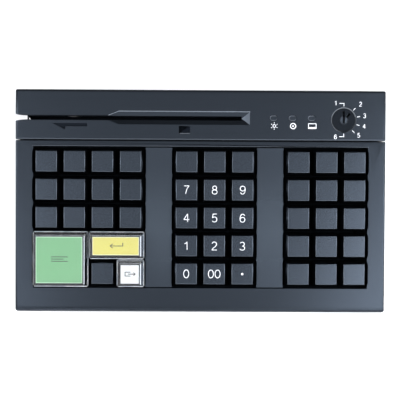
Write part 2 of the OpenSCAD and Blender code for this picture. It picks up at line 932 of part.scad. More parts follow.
module base_pan() {
    color("#2e333c")
    difference() {
        union() {
            difference() {
                base_form();
                translate([0, 0, foot_stand + floor_t])
                    linear_extrude(parting_h)
                        square([body_w - 2 * wall, 2 * (half_y - wall)], center = true);
            }
            tongue_ring();
            board_supports();
            for (p = concat(case_screws, reader_screws))
                translate([p[0], p[1], foot_stand + floor_t / 2])
                    cylinder(d = pan_boss_d, h = boss_joint_h - foot_stand - floor_t / 2);
            notch_walls(foot_stand, parting_h);
        }
        for (p = concat(case_screws, reader_screws))
            translate([p[0], p[1], foot_stand - over]) {
                cylinder(d = head_d, h = head_depth + over);
                cylinder(d = screw_d + 2 * screw_clear, h = boss_joint_h);
            }
        for (sx = [-1, 1], sy = [-1, 1])
            translate([sx * foot_x, sy * foot_y, foot_stand - over])
                cylinder(d = foot_d + 2 * foot_clear, h = foot_seat + over);
        on_deck()
            notch_prism(notch_l + over, slit_w / 2);
        cable_inlet();
    }
}

// Low wall inside the parting line that locates the upper mouldings
module tongue_ring() {
    outer = [body_w - 2 * wall - 2 * tongue_clear, 2 * (half_y - wall - tongue_clear)];
    difference() {
        translate([0, 0, parting_h - tongue_foot])
            linear_extrude(tongue_foot + tongue_h)
                difference() {
                    square(outer + both(2 * tongue_clear), center = true);
                    square(outer - both(2 * tongue_t), center = true);
                }
        translate([0, 0, parting_h])
            linear_extrude(tongue_h + over)
                difference() {
                    square([body_w, 2 * half_y], center = true);
                    square(outer, center = true);
                }
        translate([0, deck_y(seam_v, depth_at(seam_v, parting_h)), parting_h])
            linear_extrude(tongue_h + over)
                square([body_w, seam_break], center = true);
        on_deck()
            notch_prism(notch_l, slit_w / 2 + cheek + stem_reach);
        for (p = case_screws)
            translate([p[0], p[1], boss_joint_h])
                cylinder(d = boss_d + 2 * seat_clear, h = parting_h);
    }
}

// Ribs that carry the board, cut off along its underside
module board_supports() {
    rib_l = (columns - 3) * pitch;
    difference() {
        for (j = [-2, 0, 2])
            translate([0, deck_y(j * pitch, board_bottom), foot_stand + floor_t / 2])
                linear_extrude(rear_h)
                    square([rib_l, ring_wall], center = true);
        on_deck(w = board_bottom)
            linear_extrude(big / 8)
                square(big, center = true);
    }
}

module rubber_feet() {
    color("#17181a")
    for (sx = [-1, 1], sy = [-1, 1])
        translate([sx * foot_x, sy * foot_y, 0]) {
            cylinder(d1 = foot_d - 2 * foot_edge, d2 = foot_d, h = foot_edge);
            translate([0, 0, foot_edge])
                cylinder(d = foot_d, h = foot_stand + foot_seat - foot_edge);
        }
}

// Cross-shaped stem that slides in the key frame, from the cap's underside at the height given
module stem(top) {
    translate([0, 0, stem_end])
        linear_extrude(top - stem_end) {
            square([stem_w, stem_blade], center = true);
            square([stem_blade, stem_w], center = true);
        }
}

// Small cap: a hollow tapered block with rounded upright corners at its rim, and a stem
module small_key(k) {
    rim = both(pitch - key_gap);
    top = [cap_top_w, cap_top_l];
    height = cap_top_h + rim_depth;
    hollow = both(2 * cap_wall);
    color("#4b525f")
    on_deck(column_u(k[1]), row_v(k[2])) {
        difference() {
            intersection() {
                translate([0, 0, -rim_depth])
                    tapered_block(rim, top, height);
                translate([0, 0, -rim_depth])
                    linear_extrude(height)
                        rounded_rect(rim, cap_corner_r);
            }
            translate([0, 0, -rim_depth - skin])
                tapered_block(rim - hollow, top - hollow, height - cap_wall);
        }
        stem(cap_top_h - cap_wall / 2);
    }
}

function legend_rim(cells) = [cells[0] * pitch - key_gap, cells[1] * pitch - key_gap];
module at_legend_key(k) {
    on_deck(column_u(k[1] + (k[3][0] - 1) / 2), row_v(k[2] + (k[3][1] - 1) / 2))
        children();
}

// Base of a legend key: a skirt below the cover, and a hollow block inside it that holds the card
module legend_key(k) {
    rim = legend_rim(k[3]);
    block_base = rim - both(2 * cover_wall + 2 * card_fit);
    block_h = cover_top_h - cover_wall - card_gap - cover_rim_h;
    block_top = block_base - both(2 * cover_inset * block_h / (cover_top_h - cover_rim_h));
    hollow = both(2 * cap_wall);
    hollow_h = rim_depth + cover_rim_h + block_h - cap_wall;
    color("#26292f")
    at_legend_key(k) {
        difference() {
            union() {
                translate([0, 0, -rim_depth])
                    linear_extrude(rim_depth + cover_rim_h - card_fit)
                        rounded_rect(rim - both(2 * base_inset), cap_corner_r);
                translate([0, 0, cover_rim_h - card_fit])
                    tapered_block(block_base, block_top, block_h + card_fit);
            }
            translate([0, 0, -rim_depth - skin])
                tapered_block(rim - hollow, block_top - hollow, hollow_h);
        }
        for (i = [0:k[3][0] - 1], j = [0:k[3][1] - 1])
            translate([(i - (k[3][0] - 1) / 2) * pitch, (j - (k[3][1] - 1) / 2) * pitch, 0])
                stem(cover_rim_h + block_h - cap_wall / 2);
    }
}

// Clear cover of a legend key, open below
module legend_cover(k, tint) {
    rim = legend_rim(k[3]);
    height = cover_top_h - cover_rim_h;
    top = rim - both(2 * cover_inset);
    inner_h = height - cover_wall;
    inner_base = rim - both(2 * cover_wall);
    inner_top = inner_base - both(2 * cover_inset * inner_h / height);
    color(tint, 0.5)
    at_legend_key(k)
    translate([0, 0, cover_rim_h])
    difference() {
        intersection() {
            tapered_block(rim, top, height);
            linear_extrude(height)
                rounded_rect(rim, cap_corner_r);
        }
        translate([0, 0, -skin])
            tapered_block(inner_base, inner_top, inner_h);
    }
}

base_pan();
top_case();
reader_cover();
key_frame();
indicator_windows();
lock_barrel();
lock_plug();
read_head();
dome_sheet();
circuit_board();
rubber_feet();
legend_key(green_key_cells);  // green_key
legend_cover(green_key_cells, "palegreen");  // green_key_cover
legend_key(yellow_key_cells);  // yellow_key
legend_cover(yellow_key_cells, "khaki");  // yellow_key_cover
legend_key(white_key_cells);  // white_key
legend_cover(white_key_cells, "white");  // white_key_cover
for (k = small_keys) small_key(k);
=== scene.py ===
import math

import bmesh
import bpy
from mathutils import Matrix, Vector


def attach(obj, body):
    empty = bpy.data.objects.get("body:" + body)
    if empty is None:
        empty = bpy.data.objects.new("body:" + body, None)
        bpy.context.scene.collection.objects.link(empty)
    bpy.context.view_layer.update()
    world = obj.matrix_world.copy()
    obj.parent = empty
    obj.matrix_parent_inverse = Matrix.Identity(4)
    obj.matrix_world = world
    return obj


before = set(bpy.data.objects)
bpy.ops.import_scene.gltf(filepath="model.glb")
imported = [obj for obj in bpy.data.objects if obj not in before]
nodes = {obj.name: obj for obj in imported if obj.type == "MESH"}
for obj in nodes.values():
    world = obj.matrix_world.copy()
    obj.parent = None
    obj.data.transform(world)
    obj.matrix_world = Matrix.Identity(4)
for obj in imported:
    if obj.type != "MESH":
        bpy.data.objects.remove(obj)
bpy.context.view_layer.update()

mm = 0.001

# Sizes are in millimetres, apart from those of the stage, the lights and the camera, which are in metres.
# The deck: the middle of the key window, and the slope that everything on top shares
deck = {
    "origin": (0, -11.315 * mm, 29.894 * mm), "slope": math.radians(7),
    "pitch": 19.05, "columns": 12, "rows": 5,  # of the keys in the window
}
deckMatrix = Matrix.Translation(deck["origin"]) @ Matrix.Rotation(deck["slope"], 4, "X")
deckTurn = deckMatrix.to_3x3()

# Directions on the deck
toRight, toRear, upward = (1, 0, 0), (0, 1, 0), (0, 0, 1)
toLeft, toFront = (-1, 0, 0), (0, -1, 0)


# Place on the deck, from the middle of the key window.
def onDeck(u, v, w=0):
    return deckMatrix @ Matrix.Translation((u * mm, v * mm, w * mm))


def columnU(column):
    return (column - (deck["columns"] + 1) / 2) * deck["pitch"]


def rowV(row):
    return ((deck["rows"] + 1) / 2 - row) * deck["pitch"]


# The lock's middle, and the legend keys: the column and row of each one's middle, and how many cells it takes
# across and from front to rear
lockPlace = (97.75, 67.3)
legendKeys = {
    "green": {"place": (columnU(1.5), rowV(4.5)), "cells": (2, 2)},
    "yellow": {"place": (columnU(3.5), rowV(4)), "cells": (2, 1)},
    "white": {"place": (columnU(4), rowV(5)), "cells": (1, 1)},
}


# How far out the deck's origin lies along one of its directions, in metres.
def deckOffset(way):
    return (deckTurn @ Vector(way)).dot(Vector(deck["origin"]))


# Materials
def nodeMaterial(name):
    mat = bpy.data.materials.new(name)
    mat.use_nodes = True
    tree = mat.node_tree

    def add(kind, **settings):
        made = tree.nodes.new(kind)
        for key, value in settings.items():
            if hasattr(made, key):
                setattr(made, key, value)
            else:
                made.inputs[key.replace("_", " ")].default_value = value
        return made

    return mat, tree.nodes["Principled BSDF"], add, tree.links.new


# Mix node between two colours; factor is a socket, low and high are colours or sockets.
def mixColour(add, link, factor, low, high):
    mix = add("ShaderNodeMix", data_type="RGBA")
    link(factor, mix.inputs["Factor"])
    for socket, value in ((mix.inputs["A"], low), (mix.inputs["B"], high)):
        if isinstance(value, tuple):
            socket.default_value = (*value, 1)
        else:
            link(value, socket)
    return mix.outputs["Result"]


# Spreads a value that runs over the given span from low to high, which are numbers or sockets.
def spread(add, link, value, low=0, high=1, span=(0, 1), smooth=False):
    ramp = add("ShaderNodeMapRange", interpolation_type="SMOOTHSTEP" if smooth else "LINEAR")
    ramp.inputs["From Min"].default_value, ramp.inputs["From Max"].default_value = span
    for socket, bound in ((ramp.inputs["To Min"], low), (ramp.inputs["To Max"], high)):
        if isinstance(bound, (int, float)):
            socket.default_value = bound
        else:
            link(bound, socket)
    link(value, ramp.inputs["Value"])
    return ramp.outputs["Result"]


# One Math node on two sockets.
def combined(add, link, operation, first, second):
    both = add("ShaderNodeMath", operation=operation)
    link(first, both.inputs[0])
    link(second, both.inputs[1])
    return both.outputs[0]


def absolute(add, link, value):
    size = add("ShaderNodeMath", operation="ABSOLUTE")
    link(value, size.inputs[0])
    return size.outputs[0]


# How much of a vector socket points in one of the deck's directions.
def alongWay(add, link, vector, way):
    dot = add("ShaderNodeVectorMath", operation="DOT_PRODUCT")
    dot.inputs[1].default_value = deckTurn @ Vector(way)
    link(vector, dot.inputs[0])
    return dot.outputs["Value"]


# Noise in the piece's own coordinates.
def noiseOn(add, link, scale, **settings):
    place = add("ShaderNodeTexCoord")
    noise = add("ShaderNodeTexNoise", Scale=scale, **settings)
    link(place.outputs["Object"], noise.inputs["Vector"])
    return noise.outputs["Fac"]


def roughened(add, link, shader, height, strength, depth):
    bump = add("ShaderNodeBump", Strength=strength, Distance=depth * mm)
    link(height, bump.inputs["Height"])
    link(bump.outputs["Normal"], shader.inputs["Normal"])


# How far the surface faces any of the deck's directions; each way is (direction, strength).
def facingWays(add, link, ways, span=(0.05, 0.3)):
    normal = add("ShaderNodeNewGeometry").outputs["True Normal"]
    most = None
    for direction, strength in ways:
        facing = spread(add, link, alongWay(add, link, normal, direction), 0, strength, span, smooth=True)
        most = combined(add, link, "MAXIMUM", most, facing) if most else facing
    return most


# One inside all the slabs and nought outside; a slab is (direction, middle, half width) on the deck.
def insideSlabs(add, link, slabs):
    place = add("ShaderNodeTexCoord").outputs["Object"]
    inside = None
    for way, middle, half in slabs:
        slab = add("ShaderNodeMath", operation="COMPARE")
        slab.inputs[1].default_value = deckOffset(way) + middle * mm
        slab.inputs[2].default_value = half * mm
        link(alongWay(add, link, place, way), slab.inputs[0])
        inside = combined(add, link, "MULTIPLY", inside, slab.outputs[0]) if inside else slab.outputs[0]
    return inside


# Painted sheen: a broad paler band across the piece, strongest at one place from front to rear.
def paintedSheenBand(add, link, paintedSheen):
    along = add("ShaderNodeSeparateXYZ")
    link(add("ShaderNodeTexCoord").outputs["Object"], along.inputs["Vector"])
    offset = add("ShaderNodeMath", operation="SUBTRACT")
    offset.inputs[1].default_value = deck["origin"][1] + paintedSheen["at"] * mm
    link(along.outputs["Y"], offset.inputs[0])
    away = absolute(add, link, offset.outputs[0])
    return spread(add, link, away, span=(paintedSheen["reach"] * mm, 0), smooth=True)


# One on surfaces that face up from the deck, and above a level where one is given; nought on walls and below.
def topOnly(add, link, look):
    up = alongWay(add, link, add("ShaderNodeNewGeometry").outputs["Normal"], upward)
    top = spread(add, link, up, span=look["wallSpan"], smooth=True)
    if "sunkBelow" not in look:
        return top
    datum = deckOffset(upward) + look["sunkBelow"] * mm
    height = alongWay(add, link, add("ShaderNodeTexCoord").outputs["Object"], upward)
    above = spread(add, link, height, span=(datum - look["sunkFade"] * mm, datum))
    return combined(add, link, "MULTIPLY", top, above)


# Moulded plastic: a fine grain, slow colour drift and uneven gloss. Where the look asks for them it also has
# a painted sheen band, painted highlights on edges, painted shade on walls, and patches of painted highlight
# or painted shade, each in a box on the deck.
def mouldedPlastic(name, look):
    mat, shader, add, link = nodeMaterial(name)
    drift = noiseOn(add, link, look["driftScale"], Detail=3.0)
    speck = noiseOn(add, link, look["grainScale"], Detail=2.0, Roughness=0.6)
    colour = mixColour(add, link, drift, look["dark"], look["light"])
    specks = spread(add, link, speck, span=look["speckSpan"], smooth=True)
    colour = mixColour(add, link, specks, colour, look["speck"])
    # painted sheen band
    if "paintedSheen" in look:
        colour = mixColour(add, link, paintedSheenBand(add, link, look["paintedSheen"]), colour, look["paintedSheen"]["colour"])
    # painted highlight on the sides that face the given ways, only inside the given boxes where there are any
    if "lit" in look:
        lit = facingWays(add, link, look["litWays"])
        if "litSlabs" in look:
            lit = combined(add, link, "MULTIPLY", lit, insideSlabs(add, link, look["litSlabs"]))
        colour = mixColour(add, link, lit, colour, look["lit"])
    roughness = spread(add, link, speck, *look["roughness"])
    # painted shade: walls, and where given everything below a level, get the wall colour and roughness
    if look.get("wall"):
        top = topOnly(add, link, look)
        colour = mixColour(add, link, top, look["wall"], colour)
        roughness = spread(add, link, top, look["wallRoughness"], roughness)
    sheen = look["sheenTint"]
    shader.inputs["Specular Tint"].default_value = (*sheen, 1)
    # patches of painted highlight or painted shade, each with its own colour, roughness and sheen tint
    for patch in look.get("patches", ()):
        inside = insideSlabs(add, link, patch["slabs"])
        sheen = mixColour(add, link, inside, sheen, patch["sheen"])
        colour = mixColour(add, link, inside, colour, patch["colour"])
        roughness = spread(add, link, inside, roughness, patch["roughness"])
    if not isinstance(sheen, tuple):
        link(sheen, shader.inputs["Specular Tint"])
    link(colour, shader.inputs["Base Color"])
    link(roughness, shader.inputs["Roughness"])
    roughened(add, link, shader, speck, look["grainStrength"], look["grainDepth"])
    shader.inputs["Specular IOR Level"].default_value = look["specular"]
    return mat


housingLook = {
    "dark": (0.0040, 0.0048, 0.0062), "light": (0.0052, 0.0063, 0.0082), "speck": (0.0075, 0.0090, 0.0115),
    "driftScale": 9.0, "grainScale": 3600.0, "grainStrength": 0.25, "grainDepth": 0.05,
    "speckSpan": (0.35, 0.7), "wallSpan": (0.35, 0.85), "roughness": (0.22, 0.28),
    "sheenTint": (0.63, 0.78, 1.0), "specular": 0.5,
}
# Painted highlight on the rounded edges of the case and the reader cover, on the sides that face front, left
# and right
housingEdgeLook = {
    **housingLook, "lit": (0.20, 0.22, 0.25), "litWays": ((toFront, 1.0), (toLeft, 0.7), (toRight, 0.5)),
}

# Settings of painted patches: a painted highlight line, and the painted near-black shade of deep places
paintedHighlightLine = {"colour": (0.13, 0.145, 0.165), "roughness": 0.4, "sheen": housingLook["sheenTint"]}
paintedDeepShade = {"colour": (0.0010, 0.0012, 0.0016), "roughness": 0.95, "sheen": (0.10, 0.13, 0.17)}
caseLook = {
    **housingLook,
    "patches": [
        # a painted highlight line along the key window's rear edge, and painted shade along the seam in front
        # of the reader cover
        {**paintedHighlightLine, "colour": (0.045, 0.050, 0.058),
         "slabs": ((toRear, 48.78, 0.2), (upward, -0.1, 0.3), (toRight, 0, 115.2))},
        {**paintedDeepShade, "roughness": 0.9, "slabs": ((toRear, 52.62, 0.24), (upward, -1.0, 1.5))},
    ],
}

# Seen from above, the slant of the funnel's rear lip and the hips of the ramp that closes it
funnelPlan = {"slant": math.radians(21.4), "rampHalfWidth": 4.45, "rampLength": 5.6}
hipSlant = math.atan2(funnelPlan["rampHalfWidth"], funnelPlan["rampLength"])
flareWay = (-math.sin(funnelPlan["slant"]), math.cos(funnelPlan["slant"]), 0)
rearHipWay = (-math.sin(hipSlant), math.cos(hipSlant), 0)
frontHipWay = (-math.sin(hipSlant), -math.cos(hipSlant), 0)
readerLook = {
    **housingLook,
    "patches": [
        # painted shade inside the card slit
        {"slabs": ((toRear, 68.0, 1.5), (upward, -20, 19.65), (toRight, -51.05, 78.9)),
         "colour": (0.0015, 0.0018, 0.0024), "roughness": 0.95, "sheen": (0.35, 0.43, 0.55)},
        # painted shade in the half arrow's recess
        {"slabs": ((toRear, 62.0, 3.1), (upward, -3.15, 3.05), (toRight, -90.0, 13.0)),
         "colour": (0.004, 0.005, 0.007), "roughness": 0.6, "sheen": (0.10, 0.13, 0.18)},
        # painted highlight on the ramp between its hips
        {"slabs": ((rearHipWay, 25.85, 10.0), (frontHipWay, -80.63, 10.0), (toRight, 30.8, 2.8),
                   (upward, -1.6, 1.55)),
         "colour": (0.066, 0.076, 0.091), "roughness": 0.45, "sheen": housingLook["sheenTint"]},
        # painted highlight lines along the funnel's rear edge, its slanting end and the cover's edge at the
        # seam
        {**paintedHighlightLine, "slabs": ((toRear, 72.55, 0.28), (upward, -0.1, 0.3), (toRight, -11.35, 45.0))},
        {**paintedHighlightLine, "slabs": ((flareWay, 88.0, 0.2), (upward, -0.1, 0.3), (toRight, -59.7, 3.5))},
        {**paintedHighlightLine, "colour": (0.045, 0.051, 0.060), "slabs": ((toRear, 53.5, 0.35), (upward, -0.4, 0.5))},
    ],
    # painted highlight on the walls round the lock
    "lit": (0.17, 0.185, 0.205), "litWays": ((toFront, 1.0), (toRight, 0.6), (toLeft, 0.35)),
    "litSlabs": ((toRear, lockPlace[1], 9.2), (toRight, lockPlace[0], 9.2)),
}
capLook = {
    **housingLook, "driftScale": 30.0, "grainScale": 4200.0, "roughness": (0.24, 0.30), "specular": 0.72,
    # painted shade on the caps' walls
    "wall": paintedDeepShade["colour"], "wallRoughness": 0.2,
}
# Painted highlight on the rounded edges of the caps' tops, on the sides that face left, front and right
capEdgeLook = {
    **capLook, "wall": None, "lit": (0.060, 0.068, 0.080),
    "litWays": ((toLeft, 1.0), (toFront, 0.6), (toRight, 0.8)),
}
stripLook = {
    # painted sheen band across the strips
    **housingLook, "paintedSheen": {"colour": (0.020, 0.025, 0.031), "at": -8.0, "reach": 46.0}, "specular": 0.78,
    # painted shade on the strips' walls and below their tops
    "wall": paintedDeepShade["colour"], "wallRoughness": 0.9, "sunkBelow": -0.3, "sunkFade": 0.3,
    "patches": [{**paintedDeepShade, "slabs": ((upward, -20, 19.7),)}],  # painted shade on all that lies under the strips' tops
}
baseLook = {
    **housingLook, "dark": (0.012, 0.014, 0.018), "light": (0.017, 0.019, 0.024), "roughness": (0.5, 0.66),
    "grainScale": 2600.0,
}
legendLook = {
    **housingLook, "dark": (0.004, 0.0045, 0.005), "light": (0.007, 0.0075, 0.009),
    "speck": (0.010, 0.011, 0.013), "roughness": (0.45, 0.6),
}
rubberLook = {
    **housingLook, "dark": (0.008, 0.008, 0.009), "light": (0.014, 0.014, 0.015),
    "speck": (0.024, 0.024, 0.026), "roughness": (0.75, 0.95), "grainScale": 1500.0, "grainStrength": 0.6,
}
siliconeLook = {
    **housingLook, "dark": (0.42, 0.44, 0.45), "light": (0.52, 0.54, 0.55), "speck": (0.58, 0.60, 0.61),
    "roughness": (0.45, 0.6),
}
lockLook = {
    **housingLook, "dark": (0.004, 0.005, 0.007), "light": (0.006, 0.007, 0.009),
    "speck": (0.009, 0.011, 0.014), "roughness": (0.5, 0.6), "specular": 0.09,
}
# Painted highlight on the lock barrel's rounded edges, on the sides that face front right and left
lockEdgeLook = {**lockLook, "lit": (0.20, 0.22, 0.245), "litWays": (((0.75, -0.66, 0), 1.0), (toLeft, 0.35))}
casePlastic = mouldedPlastic("casePlastic", caseLook)
readerPlastic = mouldedPlastic("readerPlastic", readerLook)
capPlastic = mouldedPlastic("capPlastic", capLook)
stripPlastic = mouldedPlastic("stripPlastic", stripLook)
basePlastic = mouldedPlastic("basePlastic", baseLook)
legendPlastic = mouldedPlastic("legendPlastic", legendLook)
footRubber = mouldedPlastic("footRubber", rubberLook)
domeSilicone = mouldedPlastic("domeSilicone", siliconeLook)
lockPaint = mouldedPlastic("lockPaint", lockLook)
housingEdge = mouldedPlastic("housingEdge", housingEdgeLook)
capEdge = mouldedPlastic("capEdge", capEdgeLook)
lockEdge = mouldedPlastic("lockEdge", lockEdgeLook)


# Clear moulded acrylic, a little milky on the walls that don't face right as a painted sheen, with painted
# highlight lines where the right walls meet the top.
def clearAcrylic(name, look):
    mat, shader, add, link = nodeMaterial(name)
    haze = noiseOn(add, link, look["hazeScale"], Detail=3.0)
    gloss = spread(add, link, haze, *look["roughness"], look["hazeSpan"])
    up = alongWay(add, link, add("ShaderNodeNewGeometry").outputs["Normal"], upward)
    isTop = spread(add, link, absolute(add, link, up), span=look["topSpan"], smooth=True)
    # painted sheen: walls that don't face right are a little milky
    wall = spread(add, link, facingWays(add, link, ((toRight, 1.0),)), look["wallClear"], 1)
    clarity = spread(add, link, isTop, wall, 1)
    # painted highlight lines, paler and less clear
    colour = look["tint"]
    for tint, reach in look["lineReach"].items():
        u, v = legendKeys[tint]["place"]
        across = u + legendKeys[tint]["cells"][0] * deck["pitch"] / 2 - look["lineInset"]
        slabs = ((toRight, across, look["lineWidth"] / 2), (toRear, v, reach), (upward, *look["lineHeights"]))
        inside = insideSlabs(add, link, slabs)
        colour = mixColour(add, link, inside, colour, look["lineColour"])
        clarity = spread(add, link, inside, clarity, look["lineClear"])
    link(clarity, shader.inputs["Transmission Weight"])
    link(colour, shader.inputs["Base Color"])
    link(spread(add, link, isTop, look["wallRoughness"], gloss), shader.inputs["Roughness"])
    roughened(add, link, shader, haze, look["waveStrength"], look["waveDepth"])
    shader.inputs["IOR"].default_value = look["ior"]
    return mat


# The painted highlight lines: a line's reach is half its length, and its inset is how far it lies from the
# right edge of the key's cells
coverLook = {
    "tint": (0.975, 0.985, 0.99), "hazeScale": 90.0, "hazeSpan": (0.45, 0.75), "roughness": (0.01, 0.03),
    "topSpan": (0.7, 0.95), "wallClear": 0.94, "wallRoughness": 0.03, "waveStrength": 0.02, "waveDepth": 0.1,
    "lineReach": {"green": 16.4, "yellow": 6.9, "white": 6.9}, "lineInset": 2.05, "lineWidth": 0.4,
    "lineHeights": (11.6, 0.6), "lineColour": (0.78, 0.84, 0.93), "lineClear": 0.1, "ior": 1.49,
}
coverAcrylic = clearAcrylic("clearAcrylic", coverLook)


# Painted highlight on the rounded edges of clear acrylic: a pale, streaked colour on the sides that face
# given ways.
def paintedEdgeHighlight(name, look):
    mat, shader, add, link = nodeMaterial(name)
    streak = noiseOn(add, link, look["streakScale"], Detail=2.0)
    streaks = spread(add, link, streak, span=look["streakSpan"], smooth=True)
    colour = mixColour(add, link, streaks, look["dark"], look["light"])
    lit = facingWays(add, link, look["litWays"], look["litSpan"])
    link(mixColour(add, link, lit, look["plain"], colour), shader.inputs["Base Color"])
    shader.inputs["Roughness"].default_value = look["roughness"]
    shader.inputs["Transmission Weight"].default_value = look["clear"]
    shader.inputs["IOR"].default_value = coverLook["ior"]
    return mat


edgeLook = {
    "streakScale": 130.0, "streakSpan": (0.38, 0.62), "plain": (0.10, 0.11, 0.13), "dark": (0.50, 0.56, 0.64),
    "light": (0.90, 0.94, 1.0), "clear": 0.0, "roughness": 0.12, "litSpan": (0.1, 0.5),
    "litWays": ((toRight, 1.0), (toFront, 0.6), (toLeft, 0.4), (toRear, 0.3)),
}
# painted highlight on the covers' foot rims, on all their sides
rimLook = {
    **edgeLook, "clear": 0.05, "litWays": ((upward, 1.0), (toRight, 1.0), (toLeft, 1.0), (toFront, 1.0)),
}
acrylicEdge = paintedEdgeHighlight("acrylicEdge", edgeLook)
acrylicRim = paintedEdgeHighlight("acrylicRim", rimLook)


# Smoked light pipes; the sensor's window has a finish of its own.
def smokedPipe(name, look):
    mat, shader, add, link = nodeMaterial(name)
    milk = noiseOn(add, link, look["milkScale"], Detail=2.0)
    colour = mixColour(add, link, milk, look["dark"], look["light"])
    own = look["sensor"]
    sensor = insideSlabs(add, link, own["slabs"])
    colour = mixColour(add, link, sensor, colour, own["colour"])
    # painted highlight on the edges that face the given ways
    if "lit" in look:
        colour = mixColour(add, link, facingWays(add, link, look["litWays"]), colour, look["lit"])
    link(colour, shader.inputs["Base Color"])
    link(spread(add, link, sensor, look["roughness"], own["roughness"]), shader.inputs["Roughness"])
    link(mixColour(add, link, sensor, look["sheenTint"], own["sheen"]), shader.inputs["Specular Tint"])
    return mat


windowLook = {
    "milkScale": 400.0, "dark": (0.004, 0.005, 0.007), "light": (0.007, 0.009, 0.012), "roughness": 0.28,
    "sheenTint": housingLook["sheenTint"],
    "sensor": {"slabs": ((toRight, -11.2, 8.0),), "colour": (0.003, 0.004, 0.006), "roughness": 0.5,
               "sheen": (0.08, 0.10, 0.15)},
}
# Painted highlight on the rounded edges of the light pipes, on the sides that face left rear and front
windowEdgeLook = {
    **windowLook, "lit": (0.26, 0.285, 0.32), "litWays": (((-0.7, 0.7, 0), 1.0), (toFront, 0.5)),
}
smokedWindow = smokedPipe("smokedWindow", windowLook)
windowEdge = smokedPipe("windowEdge", windowEdgeLook)


# Metal with the fine lines of a brush or a grinding wheel.
def metal(name, look):
    mat, shader, add, link = nodeMaterial(name)
    stretch = add("ShaderNodeMapping", Scale=look["stretch"])
    link(add("ShaderNodeTexCoord").outputs["Object"], stretch.inputs["Vector"])
    brush = add("ShaderNodeTexNoise", Scale=look["brushScale"], Detail=4.0)
    link(stretch.outputs["Vector"], brush.inputs["Vector"])
    lines = brush.outputs["Fac"]
    link(mixColour(add, link, lines, look["dark"], look["light"]), shader.inputs["Base Color"])
    link(spread(add, link, lines, *look["roughness"]), shader.inputs["Roughness"])
    roughened(add, link, shader, lines, look["lineStrength"], look["lineDepth"])
    shader.inputs["Metallic"].default_value = 1
    return mat


plugLook = {
    "dark": (0.022, 0.027, 0.036), "light": (0.070, 0.083, 0.102), "roughness": (0.25, 0.42),
    "brushScale": 900.0, "stretch": (1, 1, 0.2), "lineStrength": 0.15, "lineDepth": 0.03,
}
steelLook = {**plugLook, "dark": (0.08, 0.08, 0.085), "light": (0.16, 0.16, 0.165), "roughness": (0.35, 0.5)}
screwLook = {**plugLook, "dark": (0.05, 0.05, 0.055), "light": (0.10, 0.10, 0.11), "roughness": (0.3, 0.5)}
plugSteel = metal("plugSteel", plugLook)
headSteel = metal("headSteel", steelLook)
screwSteel = metal("screwSteel", screwLook)


# Green lacquer over the board's tracks.
def circuitLacquer(name, look):
    mat, shader, add, link = nodeMaterial(name)
    tracks = add("ShaderNodeTexBrick", Scale=look["trackScale"], Mortar_Size=look["trackWidth"])
    for socket, part in (("Color1", "lacquer"), ("Color2", "lacquerLight"), ("Mortar", "track")):
        tracks.inputs[socket].default_value = (*look[part], 1)
    link(add("ShaderNodeTexCoord").outputs["Object"], tracks.inputs["Vector"])
    link(tracks.outputs["Color"], shader.inputs["Base Color"])
    shader.inputs["Roughness"].default_value = look["roughness"]
    return mat


boardLook = {
    "trackScale": 160.0, "trackWidth": 0.03, "track": (0.03, 0.17, 0.07),
    "lacquer": (0.008, 0.085, 0.035), "lacquerLight": (0.010, 0.10, 0.042), "roughness": 0.3,
}
circuitGreen = circuitLacquer("circuitLacquer", boardLook)


# Screen-printed ink, a little uneven where it is thin.
def printedInk(name, look):
    mat, shader, add, link = nodeMaterial(name)
    thin = noiseOn(add, link, look["patchScale"], Detail=3.0)
    link(mixColour(add, link, thin, look["dark"], look["light"]), shader.inputs["Base Color"])
    shader.inputs["Roughness"].default_value = look["roughness"]
    return mat


whiteInkLook = {
    "patchScale": 1500.0, "dark": (0.78, 0.80, 0.84), "light": (0.95, 0.96, 1.0), "roughness": 0.45,
}
blackInkLook = {
    "patchScale": 1500.0, "dark": (0.012, 0.016, 0.014), "light": (0.03, 0.036, 0.032), "roughness": 0.7,
}
whiteInk = printedInk("whiteInk", whiteInkLook)
blackInk = printedInk("blackInk", blackInkLook)


# Coloured card with a paler cut edge all round, in the piece's own coordinates.
def cardPaper(name, look):
    mat, shader, add, link = nodeMaterial(name)
    fibre = noiseOn(add, link, look["fibreScale"], Detail=4.0, Roughness=0.7)
    paper = mixColour(add, link, fibre, look["dark"], look["light"])
    axes = add("ShaderNodeSeparateXYZ")
    link(add("ShaderNodeTexCoord").outputs["Object"], axes.inputs["Vector"])
    margins = []
    for axis, length in zip("XY", look["size"]):
        inside = add("ShaderNodeMath", operation="SUBTRACT")
        inside.inputs[0].default_value = length / 2 * mm
        link(absolute(add, link, axes.outputs[axis]), inside.inputs[1])
        margins.append(inside.outputs[0])
    nearest = combined(add, link, "MINIMUM", *margins)
    fade = [look["border"] * (1 + side * look["borderFade"]) * mm for side in (1, -1)]
    border = spread(add, link, nearest, span=fade)
    link(mixColour(add, link, border, paper, look["edge"]), shader.inputs["Base Color"])
    roughened(add, link, shader, fibre, look["fibreStrength"], look["fibreDepth"])
    shader.inputs["Roughness"].default_value = look["roughness"]
    return mat


print("materials made")

# How the solids' sharp edges are softened; the angles are in degrees
edgeForm = {"weld": 0.002, "flat": 0.2, "sharp": 30, "weight": 100}


# The CAD nodes: materials and softened edges
def dress(name, mat):
    slots = nodes[name].data.materials
    slots.clear()
    slots.append(mat)


